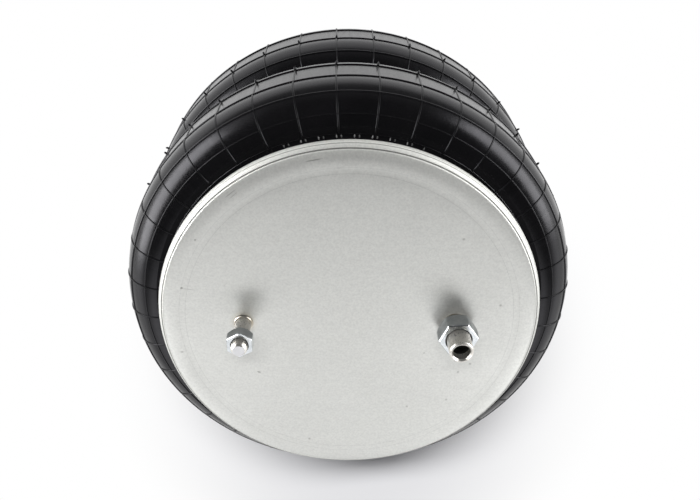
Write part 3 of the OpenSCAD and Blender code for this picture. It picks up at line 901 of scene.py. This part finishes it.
# Painted shade: the inside of the port below its mouth, and the port's thread, are the dark shade steel
air_body.data.materials.append(painted_shade_steel)
for face in air_body.data.polygons:
    reach = math.hypot(face.center.x - air_foot[0], face.center.y - air_foot[1])
    sunk = face.center.z < stud_tip - 7.5 * mm
    face.material_index = 1 if sunk and reach < port_radius + 0.2 * mm else 0
air_thread = wound_thread("thread", air_core, air_crest, air_pitch, rest_height + thread_start,
                          stud_tip - 1.7 * mm, air_foot, stud_steel, 64, stud_land)
port_thread = wound_thread("port_thread", port_radius, port_crest, port_pitch,
                           stud_tip - port_depth + 1.0 * mm, stud_tip - 7.8 * mm, air_foot, painted_shade_steel, 48)
air_stud = joined("air_stud_threaded", air_body, air_thread, port_thread)
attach(air_stud, "upper")
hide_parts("air_stud")
air_weld = weld_ring("air_stud_weld_ring", air_radius, air_foot)
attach(air_weld, "upper")
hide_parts("air_stud_weld")

# Air stud nut
# A larger hexagon nut of zinc plated steel, on the outer thread of the air stud.
# It is left a little above the plate, with its bevelled face outwards.
air_nut_across = 26.2 * mm
air_nut_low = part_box("air_stud_nut")[0].z
air_nut_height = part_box("air_stud_nut")[1].z - air_nut_low
air_nut = hexagon_nut("air_stud_nut_chamfered", air_nut_across, air_nut_height, air_nut_low,
                      air_radius + nut_play, air_foot, 6.0, 3)
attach(air_nut, "air_nut")
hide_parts("air_stud_nut")

# Floor
# A wide white table, which isn't part of the object. Away from the object the camera sees it white, and so
# does the metal. Close to the object it is plain white paper, which keeps the soft shadow.
half_floor = 6.0
paper_white = (0.88, 0.88, 0.90, 1.0)
shadow_middle = (-0.032, 0.27, 0.0)
shadow_stretch = (1.3, 1.0, 1.0)
corners = [(x * half_floor, y * half_floor, 0.0) for x, y in ((-1, -1), (1, -1), (1, 1), (-1, 1))]
floor_mesh = bpy.data.meshes.new("floor")
floor_mesh.from_pydata(corners, [], [(0, 1, 2, 3)])
floor = bpy.data.objects.new("floor", floor_mesh)
bpy.context.scene.collection.objects.link(floor)
white_table = bpy.data.materials.new("white_table")
white_table.use_nodes = True
table = white_table.node_tree
table.nodes.clear()
paper = add_node(table, "ShaderNodeBsdfDiffuse", {"Color": paper_white})
spot = add_node(table, "ShaderNodeTexCoord").outputs["Object"]
widened = on_vectors(table, "MULTIPLY", {0: spot, 1: shadow_stretch})
away = on_vectors(table, "DISTANCE", {0: widened, 1: shadow_middle}, "Value")
bleached = remapped(table, away, (0.10, 0.40), (0.0, 1.0), smooth=True)
lengthways = add_node(table, "ShaderNodeSeparateXYZ", {"Vector": spot}).outputs["Y"]
front = remapped(table, lengthways, (-0.60, -0.36), (0.2, 1.25), smooth=True)
back = remapped(table, lengthways, (0.0, 0.25), (1.0, 0.68), smooth=True)
sight = add_node(table, "ShaderNodeLightPath").outputs
mirror_light = figured(table, "MULTIPLY", front, back)
shine = add_node(table, "ShaderNodeMix", {0: sight["Is Glossy Ray"], 2: 1.0, 3: mirror_light})
glow = add_node(table, "ShaderNodeEmission", {"Color": (1.0, 1.0, 1.0, 1.0), "Strength": shine.outputs[0]})
seen = figured(table, "MULTIPLY", sight["Is Camera Ray"], bleached)
bright = figured(table, "ADD", sight["Is Glossy Ray"], seen, clamp=True)
surface = add_node(table, "ShaderNodeMixShader",
                   {0: bright, 1: paper.outputs["BSDF"], 2: glow.outputs["Emission"]})
add_node(table, "ShaderNodeOutputMaterial", {"Surface": surface.outputs["Shader"]})
floor_mesh.materials.append(white_table)

# Light
# A white studio that is darker overhead, and a long key lamp in front. Two strong side lamps shine on all
# but the plates and the floor, and two low ones on the upper plate alone, to brighten its rolled rim.
room_white = (0.985, 0.985, 1.0, 1.0)
diffuse_cut = -0.65
world = bpy.data.worlds.new("studio")
bpy.context.scene.world = world
world.use_nodes = True
sky = world.node_tree
sky.nodes.clear()
look = add_node(sky, "ShaderNodeTexCoord").outputs["Generated"]
way = add_node(sky, "ShaderNodeSeparateXYZ", {"Vector": look}).outputs
sideways = figured(sky, "ABSOLUTE", way["X"])
rear = remapped(sky, way["Y"], (0.36, 0.60), (0.02, 1.14), smooth=True)
wide_wall = remapped(sky, sideways, (0.0, 0.48), (0.91, 2.0))
far_wall = remapped(sky, sideways, (0.48, 0.72), (1.0, 0.27), smooth=True)
deep_wall = remapped(sky, way["Y"], (0.55, 0.85), (1.0, 0.46), smooth=True)
for wall_shade in (wide_wall, far_wall, deep_wall):
    rear = figured(sky, "MULTIPLY", rear, wall_shade)
low_wall = remapped(sky, way["Z"], (0.05, 0.50), (0.17, 0.0), smooth=True)
side_wall = remapped(sky, sideways, (0.45, 0.88), (0.0, 1.25), smooth=True)
side_top = remapped(sky, way["Z"], (0.20, 0.55), (1.0, 0.0), smooth=True)
sides = figured(sky, "MULTIPLY", side_wall, side_top)
around = figured(sky, "MAXIMUM", rear, figured(sky, "MAXIMUM", sides, low_wall))
rays = add_node(sky, "ShaderNodeLightPath").outputs
dimmed = figured(sky, "MULTIPLY_ADD", rays["Is Diffuse Ray"], diffuse_cut, 1.0)
level = figured(sky, "MULTIPLY", around, dimmed)
room = add_node(sky, "ShaderNodeBackground", {"Color": room_white, "Strength": level})
white = add_node(sky, "ShaderNodeBackground", {"Color": (1.0, 1.0, 1.0, 1.0), "Strength": 1.0})
shown = add_node(sky, "ShaderNodeMixShader", {0: rays["Is Camera Ray"], 1: room.outputs["Background"],
                                              2: white.outputs["Background"]})
add_node(sky, "ShaderNodeOutputWorld", {"Surface": shown.outputs["Shader"]})


def soft_lamp(name, place, aim, size, watts):
    """A rectangular area lamp aimed at a point."""
    data = bpy.data.lights.new(name, "AREA")
    data.shape = "RECTANGLE"
    data.size = size[0]
    data.size_y = size[1]
    data.energy = watts
    lamp = bpy.data.objects.new(name, data)
    lamp.location = place
    lamp.rotation_euler = (Vector(aim) - Vector(place)).to_track_quat("-Z", "Y").to_euler()
    bpy.context.scene.collection.objects.link(lamp)
    return lamp


key = soft_lamp("key_lamp", (0.16, -1.25, 1.50), (0.0, 0.0, 0.12), (0.9, 0.14), 54.0)
key.visible_glossy = False
side_lit = bpy.data.collections.new("side_lit")
for piece in bpy.context.scene.objects:
    if piece.type == "MESH" and piece not in (lower_plate, upper_plate, floor):
        side_lit.objects.link(piece)
rim_lit = bpy.data.collections.new("rim_lit")
rim_lit.objects.link(upper_plate)
side_reach = 1.35
side_lamps = (("left", 1, 0.28, 16.5, 12.4), ("right", -1, 0.55, 12.5, 12.5))
lamp_rows = (("_lamp", 0.50, 0.18, (1.35, 0.64), side_lit),
             ("_low_lamp", 0.165, 0.165, (1.60, 0.32), rim_lit))
for hand, side, forward, *row_watts in side_lamps:
    for (row, height, aim, size, lit), watts in zip(lamp_rows, row_watts):
        lamp = soft_lamp(hand + row, (side * side_reach, -forward, height), (0.0, 0.0, aim), size, watts)
        lamp.visible_diffuse = False
        lamp.light_linking.receiver_collection = lit

# Camera
# Looks down on the upper plate from the front, with the front at the top of the picture.
# Its place, its turn and its lens are those that fit the plate's edge, the studs and the outline.
picture_width = 700.0
film_width = 36.0
focal_pixels = 768.28
viewpoint = (14.03 * mm, -331.19 * mm, rest_height + 474.13 * mm)
tilt = math.radians(29.448)
roll = math.radians(-0.718)
yaw = math.radians(-1.338)
right = Vector((-1.0, 0.0, 0.0))
up = Vector((0.0, -math.cos(tilt), -math.sin(tilt)))
ahead = Vector((0.0, math.sin(tilt), -math.cos(tilt)))
level_x = right * math.cos(roll) - up * math.sin(roll)
camera_x = level_x * math.cos(yaw) + ahead * math.sin(yaw)
camera_y = right * math.sin(roll) + up * math.cos(roll)
camera_z = level_x * math.sin(yaw) - ahead * math.cos(yaw)
lens = bpy.data.cameras.new("camera")
lens.sensor_width = film_width
lens.lens = film_width * focal_pixels / picture_width
lens.clip_start = 0.01
camera = bpy.data.objects.new("camera", lens)
turn = Matrix((camera_x, camera_y, camera_z)).transposed().to_4x4()
camera.matrix_world = Matrix.Translation(viewpoint) @ turn
bpy.context.scene.collection.objects.link(camera)
bpy.context.scene.camera = camera
bpy.context.scene.view_settings.view_transform = "Standard"
